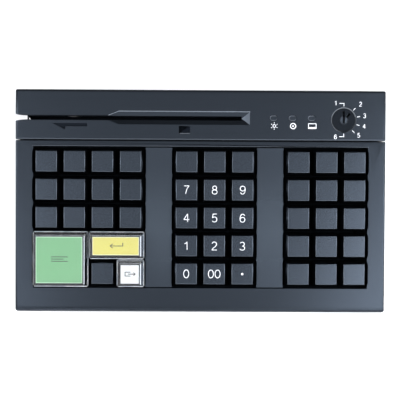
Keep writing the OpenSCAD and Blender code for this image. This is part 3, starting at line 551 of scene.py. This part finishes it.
# Rounds the sharp edges, or only those above a level of the deck. The vertices are welded and flat faces
# joined first so that the bevel finds its room.
def softEdges(name, width, segments=3, edgeMaterial=None, above=None):
    obj = nodes[name]
    weld = obj.modifiers.new("weld", "WELD")
    weld.merge_threshold = edgeForm["weld"] * mm
    flat = obj.modifiers.new("flat", "DECIMATE")
    flat.decimate_type = "DISSOLVE"
    flat.angle_limit = math.radians(edgeForm["flat"])
    bevel = obj.modifiers.new("bevel", "BEVEL")
    bevel.width = width * mm
    bevel.segments = segments
    bevel.use_clamp_overlap = above is None
    if above is None:
        bevel.limit_method = "ANGLE"
        bevel.angle_limit = math.radians(edgeForm["sharp"])
    else:
        level = deckOffset(upward) + above * mm
        deckUp = deckTurn @ Vector(upward)
        group = obj.vertex_groups.new(name="top")
        group.add([v.index for v in obj.data.vertices if deckUp.dot(v.co) > level], 1, "REPLACE")
        bevel.limit_method = "VGROUP"
        bevel.vertex_group = group.name
    bevel.miter_outer = "MITER_ARC"
    if edgeMaterial:
        obj.data.materials.append(edgeMaterial)
        bevel.material = 1
    shading = obj.modifiers.new("shading", "WEIGHTED_NORMAL")
    shading.weight = edgeForm["weight"]


# Each node's material, how far its edges are rounded, and the material of those edges
dressing = {
    "top_case": (casePlastic, 0.3, housingEdge), "reader_cover": (readerPlastic, 0.2, housingEdge),
    "base_pan": (basePlastic, 0.3, None), "key_frame": (stripPlastic, 0.35, None),
    "indicator_windows": (smokedWindow, 0.35, windowEdge), "lock_barrel": (lockPaint, 0.2, lockEdge),
    "lock_plug": (plugSteel, 0.12, None), "read_head": (headSteel, 0, None),
    "dome_sheet": (domeSilicone, 0, None), "circuit_board": (circuitGreen, 0, None),
    "rubber_feet": (footRubber, 0.3, None),
}
for name, (mat, rounding, edge) in dressing.items():
    dress(name, mat)
    if rounding:
        softEdges(name, rounding, edgeMaterial=edge)

legendForm = {"edge": 0.3, "edgeSegments": 2, "coverEdge": 0.5, "coverSegments": 1}
for tint in legendKeys:
    dress(tint + "_key", legendPlastic)
    softEdges(tint + "_key", legendForm["edge"], legendForm["edgeSegments"])
    dress(tint + "_key_cover", coverAcrylic)
    softEdges(tint + "_key_cover", legendForm["coverEdge"], legendForm["coverSegments"], acrylicEdge)

# Only the edges of the cap's flat top are rounded; slack is what counts as level with it
capForm = {"top": 5.4, "slack": 0.01, "edge": 0.32}
smallKeys = [n for n in nodes if "_key_r" in n or n.startswith("key_") and n != "key_frame"]
for name in smallKeys:
    dress(name, capPlastic)
    softEdges(name, capForm["edge"], edgeMaterial=capEdge, above=capForm["top"] - capForm["slack"])
print("frame dressed:", len(smallKeys), "small keys")


# Pieces of the scene's own
def addPiece(name, mesh, mat, body, place):
    obj = bpy.data.objects.new(name, mesh)
    bpy.context.scene.collection.objects.link(obj)
    mesh.materials.append(mat)
    obj.matrix_world = place
    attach(obj, body)


# Turns a finished bmesh into a mesh, with its faces looking outwards.
def meshFrom(bm, name):
    bmesh.ops.recalc_face_normals(bm, faces=bm.faces)
    mesh = bpy.data.meshes.new(name)
    bm.to_mesh(mesh)
    bm.free()
    return mesh


# A closed loop of vertices from points across and along, all at one height in metres.
def loopOf(bm, points, z):
    return [bm.verts.new((x * mm, y * mm, z)) for x, y in points]


# A band of faces between two loops with as many vertices.
def band(bm, low, high):
    for i in range(len(low)):
        j = (i + 1) % len(low)
        bm.faces.new((low[i], low[j], high[j], high[i]))


# Points of an elliptical arc, from one angle to the other in degrees.
def arcPoints(centre, radii, start, end, count=14):
    points = []
    for i in range(count + 1):
        turn = math.radians(start + (end - start) * i / count)
        points.append((centre[0] + radii[0] * math.cos(turn), centre[1] + radii[1] * math.sin(turn)))
    return points


# Plain sans figures as pen strokes, one unit high
figureStrokes = {
    "0": [arcPoints((0.28, 0.5), (0.22, 0.45), 90, 450, 32)],
    "1": [[(0.12, 0.74), (0.24, 0.80), (0.34, 0.95)], [(0.34, 0.95), (0.34, 0.05)]],
    "2": [arcPoints((0.27, 0.70), (0.20, 0.25), 165, -25) + [(0.34, 0.42), (0.13, 0.20), (0.07, 0.05)],
          [(0.07, 0.05), (0.50, 0.05)]],
    "3": [arcPoints((0.27, 0.725), (0.18, 0.225), 155, -90),
          arcPoints((0.27, 0.275), (0.215, 0.225), 90, -155)],
    "4": [[(0.38, 0.05), (0.38, 0.95)], [(0.38, 0.95), (0.05, 0.34)], [(0.05, 0.31), (0.53, 0.31)]],
    "5": [[(0.47, 0.95), (0.15, 0.95)], [(0.15, 0.95), (0.10, 0.51)],
          arcPoints((0.27, 0.335), (0.215, 0.285), 143, -148)],
    "6": [arcPoints((0.28, 0.32), (0.21, 0.27), 90, 450, 28),
          arcPoints((0.29, 0.45), (0.225, 0.50), 190, 38)],
    "7": [[(0.06, 0.95), (0.50, 0.95)],
          [(0.50, 0.93), (0.38, 0.75), (0.28, 0.50), (0.23, 0.28), (0.21, 0.05)]],
    "8": [arcPoints((0.28, 0.735), (0.17, 0.215), 90, 450, 28),
          arcPoints((0.28, 0.28), (0.21, 0.24), 90, 450, 28)],
    "9": [arcPoints((0.28, 0.68), (0.21, 0.27), 90, 450, 28),
          arcPoints((0.27, 0.55), (0.225, 0.50), 10, -142)],
}
# Where a figure is centred, in its own units, and how much higher each stroke is than the one before it, as a
# share of the thickness
figureForm = {"middle": (0.28, 0.5), "lift": 0.02}


# The two sides of a pen stroke of even width along the points.
def strokeSides(points, width):
    oneSide, otherSide = [], []
    closed = (Vector(points[0]) - Vector(points[-1])).length < 1e-6
    for i, point in enumerate(points):
        before = points[i - 1] if i else (points[-2] if closed else point)
        after = points[i + 1] if i < len(points) - 1 else (points[1] if closed else point)
        along = (Vector(after) - Vector(before)).normalized()
        side = Vector((-along.y, along.x)) * width / 2
        oneSide.append((point[0] + side.x, point[1] + side.y))
        otherSide.append((point[0] - side.x, point[1] - side.y))
    return oneSide, otherSide


# A thin solid of the figures in a row, centred.
def figureMesh(words, look):
    bm = bmesh.new()
    high = look["height"]
    middle = figureForm["middle"]
    for place, letter in enumerate(words):
        shift = (place - (len(words) - 1) / 2) * high * look["step"]
        for layer, stroke in enumerate(figureStrokes[letter]):
            points = [((x - middle[0]) * look["widen"] * high + shift, (y - middle[1]) * high)
                      for x, y in stroke]
            top = look["thickness"] * mm * (1 + figureForm["lift"] * layer)
            rails = [loopOf(bm, side, z) for side in strokeSides(points, look["stroke"]) for z in (0, top)]
            for i in range(len(points) - 1):
                for a, b in ((1, 3), (3, 2), (0, 1), (2, 0)):
                    bm.faces.new((rails[a][i], rails[a][i + 1], rails[b][i + 1], rails[b][i]))
            for end in (0, -1):
                bm.faces.new([rails[rail][end] for rail in (0, 1, 3, 2)])
    return meshFrom(bm, "figures")


# Thin solid of one or more flat outlines; an outline with an outer and an inner loop makes a ring.
def extrudedShape(name, outlines, thickness):
    bm = bmesh.new()
    for outline in outlines:
        if isinstance(outline, dict):
            loops = [loopOf(bm, outline[side], z) for side in ("outer", "inner") for z in (0, thickness * mm)]
            for low, high in ((0, 1), (1, 3), (3, 2), (2, 0)):
                band(bm, loops[low], loops[high])
        else:
            low, high = loopOf(bm, outline, 0), loopOf(bm, outline, thickness * mm)
            bm.faces.new(list(reversed(low)))
            bm.faces.new(high)
            band(bm, low, high)
    return meshFrom(bm, name)


def circlePoints(radius, centre=(0, 0), count=32, start=0, sweep=360):
    points = arcPoints(centre, (radius, radius), start, start + sweep, count)
    return points[:-1] if sweep == 360 else points


def roundedPoints(size, radius, centre=(0, 0), steps=6):
    points = []
    for corner, (sx, sy) in enumerate(((1, 1), (-1, 1), (-1, -1), (1, -1))):
        middle = (centre[0] + sx * (size[0] / 2 - radius), centre[1] + sy * (size[1] / 2 - radius))
        points += circlePoints(radius, middle, steps, corner * 90, 90)
    return points


def barPoints(start, end, width):
    along = Vector((end[0] - start[0], end[1] - start[1])).normalized()
    side = Vector((-along.y, along.x)) * width / 2
    return [(start[0] + side.x, start[1] + side.y), (start[0] - side.x, start[1] - side.y),
            (end[0] - side.x, end[1] - side.y), (end[0] + side.x, end[1] + side.y)]


# A bar that points away from a centre, between two distances from it.
def rayBar(aim, reaches, width):
    return barPoints(*([c * reach for c in aim] for reach in reaches), width)


inkThickness = 0.03  # of the marks on the keys and the housing

# Digits on the keys, each with its key's column and row
digits = {
    "height": 6.05, "widen": 1.30, "step": 0.76, "stroke": 0.42, "thickness": inkThickness,
    "keys": {"7": (6, 2), "8": (7, 2), "9": (8, 2), "4": (6, 3), "5": (7, 3), "6": (8, 3),
             "1": (6, 4), "2": (7, 4), "3": (8, 4), "0": (6, 5), "00": (7, 5)},
    "pointRadius": 0.75, "pointKey": (8, 5),
}


def printDigit(name, mesh, cell):
    column, row = cell
    place = onDeck(columnU(column), rowV(row), capForm["top"])
    addPiece("digit_" + name, mesh, whiteInk, "key_" + name, place)


for figure, cell in digits["keys"].items():
    printDigit(figure, figureMesh(figure, digits), cell)
pointMesh = extrudedShape("point", [circlePoints(digits["pointRadius"])], inkThickness)
printDigit("point", pointMesh, digits["pointKey"])


# White marks on the housing, about a place on the deck
def printMark(name, mesh, place):
    addPiece(name, mesh, whiteInk, "case", onDeck(*place))


# Marks under the indicators: a sun for power, a ring for the reader and a card
sunMark = {"place": (50.2, 63.0), "ring": (1.15, 0.74), "ray": (1.7, 2.55), "rays": 6, "width": 0.36}
sun = []
for i in range(sunMark["rays"]):
    turn = math.radians(90 + i * 360 / sunMark["rays"])
    sun.append(rayBar((math.cos(turn), math.sin(turn)), sunMark["ray"], sunMark["width"]))
sun.append({"outer": circlePoints(sunMark["ring"][0]), "inner": circlePoints(sunMark["ring"][1])})
printMark("mark_sun", extrudedShape("sun", sun, inkThickness), sunMark["place"])

ringMark = {"place": (63.07, 63.0), "outer": 2.1, "inner": 1.5, "dot": 0.6}
ring = [{"outer": circlePoints(ringMark["outer"]), "inner": circlePoints(ringMark["inner"])},
        circlePoints(ringMark["dot"])]
printMark("mark_ring", extrudedShape("ring", ring, inkThickness), ringMark["place"])

cardMark = {
    "place": (76.2, 63.0), "size": (5.7, 3.8), "line": 0.45, "foot": 1.15, "radius": 0.5, "innerRadius": 0.2,
}
cardLong, cardHigh = cardMark["size"]
hollow = (cardLong - 2 * cardMark["line"], cardHigh - cardMark["line"] - cardMark["foot"])
hollowMiddle = (0, (cardMark["foot"] - cardMark["line"]) / 2)
cardRing = {"outer": roundedPoints(cardMark["size"], cardMark["radius"]),
            "inner": roundedPoints(hollow, cardMark["innerRadius"], hollowMiddle)}
printMark("mark_card", extrudedShape("card", [cardRing], inkThickness), cardMark["place"])

# Marks round the lock: plain numbers, and a tick for each turn that it stops at, hooked at the first and last
lockDial = {
    "turns": (0, 44, 77, 109, 140, 180), "inner": 9.3, "outer": 11.4, "width": 0.4,
    "hookReach": 0.3, "hookInset": 0.35, "hookLength": 3.1,
}
hookOuter = lockDial["outer"] + lockDial["hookReach"]
hookTurns = (lockDial["turns"][0], lockDial["turns"][-1])
ticks = []
for turn in lockDial["turns"]:
    aim = (math.sin(math.radians(turn)), math.cos(math.radians(turn)))
    outer = hookOuter if turn in hookTurns else lockDial["outer"]
    ticks.append(rayBar(aim, (lockDial["inner"], outer), lockDial["width"]))
for side in (1, -1):
    level = side * (hookOuter - lockDial["hookInset"])
    start, end = (lockDial["hookInset"], level), (-lockDial["hookLength"], level)
    ticks.append(barPoints(start, end, lockDial["width"]))
printMark("lock_ticks", extrudedShape("ticks", ticks, inkThickness), lockPlace)
dialNumbers = {
    "height": 3.2, "widen": 1.15, "step": 0.7, "stroke": 0.38, "thickness": inkThickness,
    "places": {"1": (-5.6, 11.55), "2": (11.4, 10.9), "3": (14.2, 3.0), "4": (14.0, -4.2), "5": (10.3, -10.4),
               "6": (-5.6, -11.5)},
}
for figure, (x, y) in dialNumbers["places"].items():
    place = (lockPlace[0] + x, lockPlace[1] + y)
    printMark("lock_number_" + figure, figureMesh(figure, dialNumbers), place)
print("marks printed")

# Legend cards
cards = {
    "green": {"size": (31.3, 31.3), "dark": (0.20, 0.48, 0.235), "light": (0.235, 0.54, 0.27),
              "edge": (0.62, 0.85, 0.66)},
    "yellow": {"size": (31.3, 12.3), "dark": (0.77, 0.70, 0.165), "light": (0.84, 0.77, 0.21),
               "edge": (0.95, 0.93, 0.62)},
    "white": {"size": (12.3, 12.5), "dark": (0.90, 0.91, 0.93), "light": (0.95, 0.96, 0.98),
              "edge": (0.95, 0.96, 0.98)},
}
cardForm = {
    "bottom": 10.45, "thickness": 0.3, "radius": 0.3, "border": 0.45, "borderFade": 0.3, "fibreScale": 700.0,
    "fibreStrength": 0.2, "fibreDepth": 0.03, "roughness": 0.8,
}
for tint, card in cards.items():
    mesh = extrudedShape(tint, [roundedPoints(card["size"], cardForm["radius"])], cardForm["thickness"])
    addPiece(tint + "_card", mesh, cardPaper(tint + "Card", {**cardForm, **card}), tint + "_key",
             onDeck(*legendKeys[tint]["place"], cardForm["bottom"]))

# Plain line marks on the cards: receipt lines, a return arrow and a way out
cardLine = {"width": 0.52, "thickness": 0.02}
cardMarks = {
    "green": {"at": (0.3, 0.6), "bars": [((-5.6, 1.5), (5.6, 1.5)), ((-5.6, 0), (2.6, 0)),
                                         ((-5.6, -1.5), (5.6, -1.5))]},
    "yellow": {"at": (0.6, 0.7), "bars": [((4.2, 1.5), (4.2, -0.6)), ((4.41, -0.6), (-4.2, -0.6)),
                                          ((-4.4, -0.6), (-2.6, 0.7)), ((-4.4, -0.6), (-2.6, -1.9))]},
    "white": {"at": (0.1, 0.2), "bars": [((0.4, 1.3), (-3.2, 1.3)), ((-3.2, 1.5), (-3.2, -1.5)),
                                         ((-3.2, -1.3), (0.4, -1.3)), ((-1.4, 0), (3.6, 0)),
                                         ((3.7, 0), (2.4, 1.0)), ((3.7, 0), (2.4, -1.0))]},
}
for tint, mark in cardMarks.items():
    bars = [barPoints(start, end, cardLine["width"]) for start, end in mark["bars"]]
    u, v = (middle + shift for middle, shift in zip(legendKeys[tint]["place"], mark["at"]))
    place = onDeck(u, v, cardForm["bottom"] + cardForm["thickness"])
    addPiece(tint + "_card_mark", extrudedShape(tint + "Mark", bars, cardLine["thickness"]), blackInk,
             tint + "_key", place)
print("cards laid")

# Foot rims of the clear covers: a thin moulded lip, whose pale colour is a painted highlight
rimForm = {"bottom": 2.2, "thickness": 0.55, "gap": 0.8, "out": 0.12, "width": 0.42, "radius": 1.3}
for tint, key in legendKeys.items():
    size = [count * deck["pitch"] - rimForm["gap"] + 2 * rimForm["out"] for count in key["cells"]]
    innerSize = [side - 2 * rimForm["width"] for side in size]
    rim = {"outer": roundedPoints(size, rimForm["radius"]),
           "inner": roundedPoints(innerSize, rimForm["radius"] - rimForm["width"])}
    addPiece(tint + "_cover_rim", extrudedShape(tint + "Rim", [rim], rimForm["thickness"]), acrylicRim,
             tint + "_key", onDeck(*key["place"], rimForm["bottom"]))
print("cover rims laid")

# Case screws, under the base; the rim is the share of the head's radius and height that isn't domed
screws = {
    "places": ((-110.25, -66.3), (0, -66.3), (110.25, -66.3), (-120.85, 15), (120.85, 15),
               (-112.05, 66.9), (42, 66.9), (112.05, 66.9)),
    "headRadius": 2.8, "headTop": 4.9, "headHeight": 1.9, "rim": 0.55, "sides": 48, "domeSteps": 6,
    "crossLength": 1.5, "crossWidth": 0.36, "crossDepth": 0.9,
}


# How far the edge of the cross recess is from the middle, in the direction of a turn.
def crossReach(turn, look):
    across, along = sorted((abs(math.cos(turn)), abs(math.sin(turn))))
    reach = look["crossLength"] / along
    return min(reach, look["crossWidth"] / across) if across else reach


# Pan head seen from below, with a cross recess.
def screwMesh(look):
    bm = bmesh.new()
    radius, height, rim = look["headRadius"], look["headHeight"], look["rim"]
    profile = [(radius, look["headTop"]), (radius, look["headTop"] - height * rim)]
    for i in range(1, look["domeSteps"]):
        turn = math.radians(90 * i / look["domeSteps"])
        profile.append((radius * (rim + (1 - rim) * math.cos(turn)),
                        look["headTop"] - height * (rim + (1 - rim) * math.sin(turn))))
    turns = [math.tau * i / look["sides"] for i in range(look["sides"])]
    rings = [loopOf(bm, [(r * math.cos(turn), r * math.sin(turn)) for turn in turns], z * mm)
             for r, z in profile]
    reaches = [crossReach(turn, look) for turn in turns]
    cross = [(reach * math.cos(turn), reach * math.sin(turn)) for reach, turn in zip(reaches, turns)]
    lowest = profile[-1][1]
    rings += [loopOf(bm, cross, z * mm) for z in (lowest, lowest + look["crossDepth"])]
    for low, high in zip(rings, rings[1:]):
        band(bm, low, high)
    bm.faces.new(rings[0])
    bm.faces.new(rings[-1])
    return meshFrom(bm, "screw")


for index, (x, y) in enumerate(screws["places"], 1):
    place = Matrix.Translation((x * mm, y * mm, 0))
    addPiece("case_screw_%d" % index, screwMesh(screws), screwSteel, "case", place)
print("screws set")

# Stage: the floor glows a little for the camera only, so that it shows white without lighting the part
stageLook = {
    "size": 6.0, "floor": (0.86, 0.86, 0.87), "drift": 1.01, "toothScale": 40.0,
    "roughness": 0.9, "glow": 0.25,
}


def makeFloor(look):
    bm = bmesh.new()
    half = look["size"] / 2
    bm.faces.new([bm.verts.new((x * half, y * half, 0)) for x, y in ((-1, -1), (1, -1), (1, 1), (-1, 1))])
    mesh = bpy.data.meshes.new("floor")
    bm.to_mesh(mesh)
    bm.free()
    floor = bpy.data.objects.new("floor", mesh)
    bpy.context.scene.collection.objects.link(floor)
    mat, shader, add, link = nodeMaterial("floorPaper")
    tooth = noiseOn(add, link, look["toothScale"], Detail=2.0)
    paler = tuple(c * look["drift"] for c in look["floor"])
    link(mixColour(add, link, tooth, look["floor"], paler), shader.inputs["Base Color"])
    shader.inputs["Roughness"].default_value = look["roughness"]
    glow = add("ShaderNodeMath", operation="MULTIPLY")
    glow.inputs[1].default_value = look["glow"]
    link(add("ShaderNodeLightPath").outputs["Is Camera Ray"], glow.inputs[0])
    shader.inputs["Emission Color"].default_value = (1, 1, 1, 1)
    link(glow.outputs[0], shader.inputs["Emission Strength"])
    mesh.materials.append(mat)


makeFloor(stageLook)

# The camera sees a white background; everything else is lit by a weak one
worldLook = {"ambient": (0.80, 0.86, 0.95), "strength": 0.08, "white": (1, 1, 1), "whiteStrength": 1}
world = bpy.data.worlds.new("studio")
bpy.context.scene.world = world
world.use_nodes = True
tree = world.node_tree
tree.nodes.clear()
choose = tree.nodes.new("ShaderNodeMixShader")
path = tree.nodes.new("ShaderNodeLightPath")
tree.links.new(path.outputs["Is Camera Ray"], choose.inputs["Fac"])
for socket, colour, strength in ((1, "ambient", "strength"), (2, "white", "whiteStrength")):
    background = tree.nodes.new("ShaderNodeBackground")
    background.inputs["Color"].default_value = (*worldLook[colour], 1)
    background.inputs["Strength"].default_value = worldLook[strength]
    tree.links.new(background.outputs[0], choose.inputs[socket])
out = tree.nodes.new("ShaderNodeOutputWorld")
tree.links.new(choose.outputs[0], out.inputs["Surface"])

# Softboxes, aimed at the middle of the part unless a target is given
coolWhite, plainWhite = (0.97, 0.98, 1.0), (1.0, 1.0, 1.0)
partMiddle = (0, 0, 0.02)
lights = {
    "rightSoftbox": {"at": (0.401, -0.225, 0.60), "size": (0.40, 0.40), "power": 3.5, "colour": coolWhite},
    "leftSoftbox": {"at": (-0.350, -0.192, 0.60), "size": (0.26, 0.26), "power": 0.78, "colour": coolWhite},
    "ceiling": {"at": (0, -0.22, 1.30), "size": (1.3, 0.7), "power": 3.0, "colour": coolWhite,
                "target": (0, -0.22, 0)},
    "frontPanel": {"at": (0, -1.25, 0.68), "size": (1.8, 0.35), "power": 3.4, "colour": coolWhite},
    "frontStrip": {"at": (0, -0.95, 0.98), "size": (1.2, 0.14), "power": 5.0, "colour": coolWhite},
    "leftStrip": {"at": (-0.95, -0.05, 0.85), "size": (0.14, 1.2), "power": 5.0, "colour": coolWhite},
    "rightStrip": {"at": (0.95, -0.05, 0.85), "size": (0.14, 1.2), "power": 5.0, "colour": coolWhite},
    "fillLeft": {"at": (-1.1, 0.3, 1.3), "size": (0.7, 0.7), "power": 10, "colour": plainWhite},
    "fillRight": {"at": (1.1, 0.3, 1.3), "size": (0.7, 0.7), "power": 10, "colour": plainWhite},
}
for name, light in lights.items():
    data = bpy.data.lights.new(name, "AREA")
    data.shape = "RECTANGLE"
    data.size, data.size_y = light["size"]
    data.energy = light["power"]
    data.color = light["colour"]
    lamp = bpy.data.objects.new(name, data)
    bpy.context.scene.collection.objects.link(lamp)
    lamp.location = light["at"]
    aim = Vector(light.get("target", partMiddle)) - Vector(light["at"])
    lamp.rotation_euler = aim.to_track_quat("-Z", "Y").to_euler()

# The camera at the photograph's viewing angle; the turn is in degrees, the lens and the sensor in millimetres
cameraSetup = {
    "at": (-0.0060, -0.06669, 0.70820), "turn": (5.6817, -0.5015, 0.2425), "lens": 89.4, "sensor": 36.0,
    "clip": (0.02, 20),
}
cameraData = bpy.data.cameras.new("camera")
cameraData.lens = cameraSetup["lens"]
cameraData.sensor_width = cameraSetup["sensor"]
cameraData.sensor_fit = "HORIZONTAL"
cameraData.clip_start, cameraData.clip_end = cameraSetup["clip"]
camera = bpy.data.objects.new("camera", cameraData)
bpy.context.scene.collection.objects.link(camera)
camera.location = cameraSetup["at"]
camera.rotation_euler = [math.radians(a) for a in cameraSetup["turn"]]
bpy.context.scene.camera = camera
bpy.context.scene.view_settings.view_transform = "Standard"
print("stage, lights and camera set")
